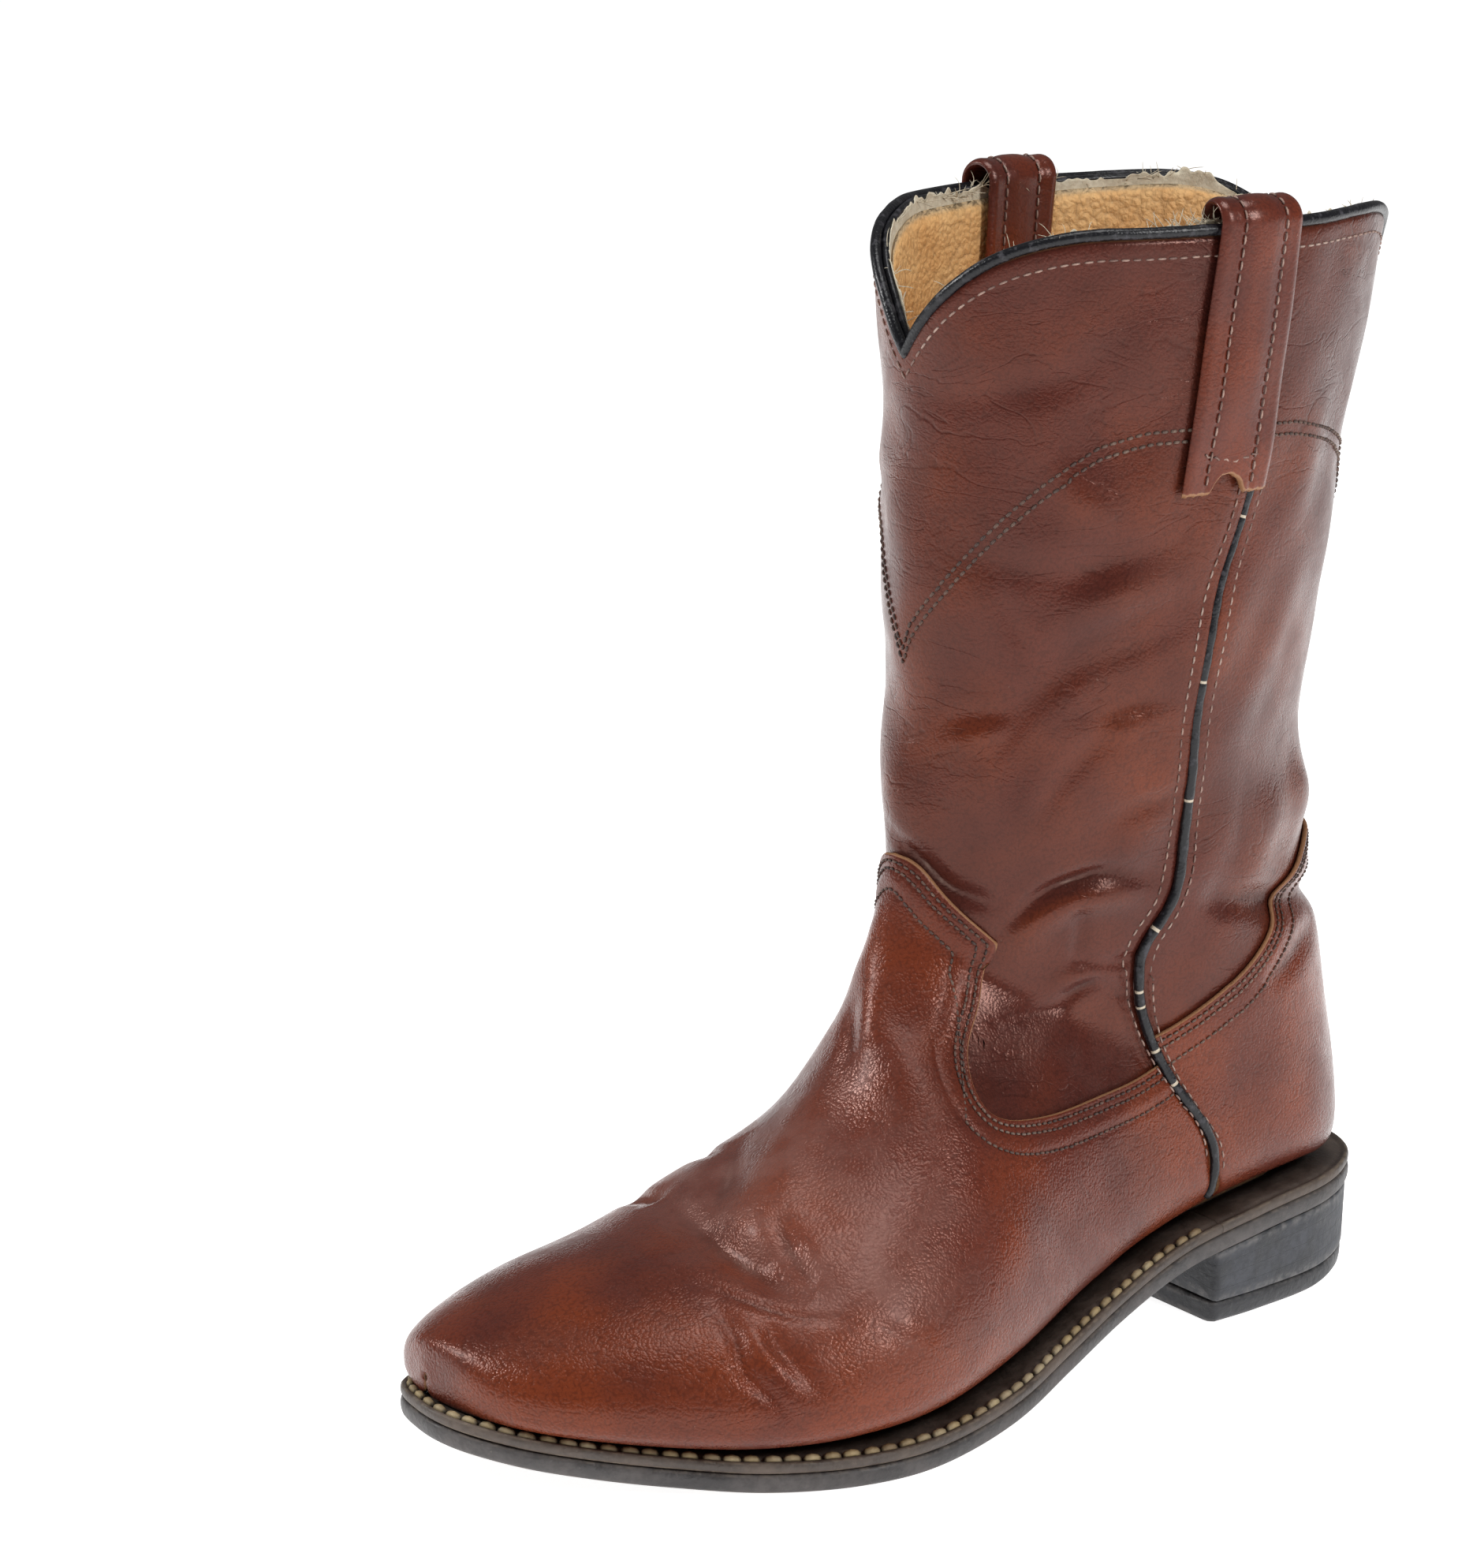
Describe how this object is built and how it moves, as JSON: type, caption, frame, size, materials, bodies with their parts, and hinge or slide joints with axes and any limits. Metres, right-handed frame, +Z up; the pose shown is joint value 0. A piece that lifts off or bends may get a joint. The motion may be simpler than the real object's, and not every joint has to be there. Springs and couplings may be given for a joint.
{
  "type": "cowboy boot",
  "caption": "Left-foot pull-on leather boot with a lasted vamp and counter, tall shaft with dipped topline, pull straps, piped side seams, welted sole and stacked heel.",
  "frame": {"origin": "on the floor, under the middle of the boot's box", "axes": "+Z up, toe towards -Y, +X towards the outer (lateral) side of a left foot"},
  "size_m": [0.1174, 0.2844, 0.3019],
  "materials": {
    "vamp_leather": "polished red-brown grain leather, creased and burnished",
    "shaft_leather": "polished red-brown calf, soft creases",
    "strap_leather": "folded and stitched red-brown leather, glossy",
    "piping_leather": "black rolled bead, cracked",
    "lining_leather": "unfinished tan leather, crazed",
    "tape_canvas": "cream woven cotton tape, frayed",
    "welt_leather": "dark waxed edge with ochre lockstitching",
    "sole_leather": "dark dressed edge, worn",
    "heel_stack": "black edge-dressed stacked leather, scuffed",
    "heel_rubber": "moulded black rubber, worn edge",
    "cork": "ground cork in binder",
    "insole_board": "compressed leather board",
    "spring_steel": "plain rolled",
    "nail_brass": "bright drawn"
  },
  "bodies": {
    "root": {"outsole": "sole_leather", "welt": "welt_leather", "heel_rand": "welt_leather", "heel_block": "heel_stack", "heel_top_lift": "heel_rubber", "cork_filler": "cork", "shank": "spring_steel", "insole": "insole_board", "heel_sock": "lining_leather", "vamp": "vamp_leather", "toe_box": "insole_board", "vamp_lining": "lining_leather", "counter": "vamp_leather", "counter_stiffener": "insole_board", "shaft_front": "shaft_leather", "shaft_back": "shaft_leather", "shaft_lining_front": "lining_leather", "shaft_lining_back": "lining_leather", "topline_tape_front": "tape_canvas", "topline_tape_back": "tape_canvas", "topline_piping": "piping_leather", "side_piping_left": "piping_leather", "side_piping_right": "piping_leather", "pull_strap_left": "strap_leather", "pull_strap_right": "strap_leather", "heel_nail_1": "nail_brass", "heel_nail_2": "nail_brass", "heel_nail_3": "nail_brass", "heel_nail_4": "nail_brass", "heel_nail_5": "nail_brass"}
  },
  "joints": []
}
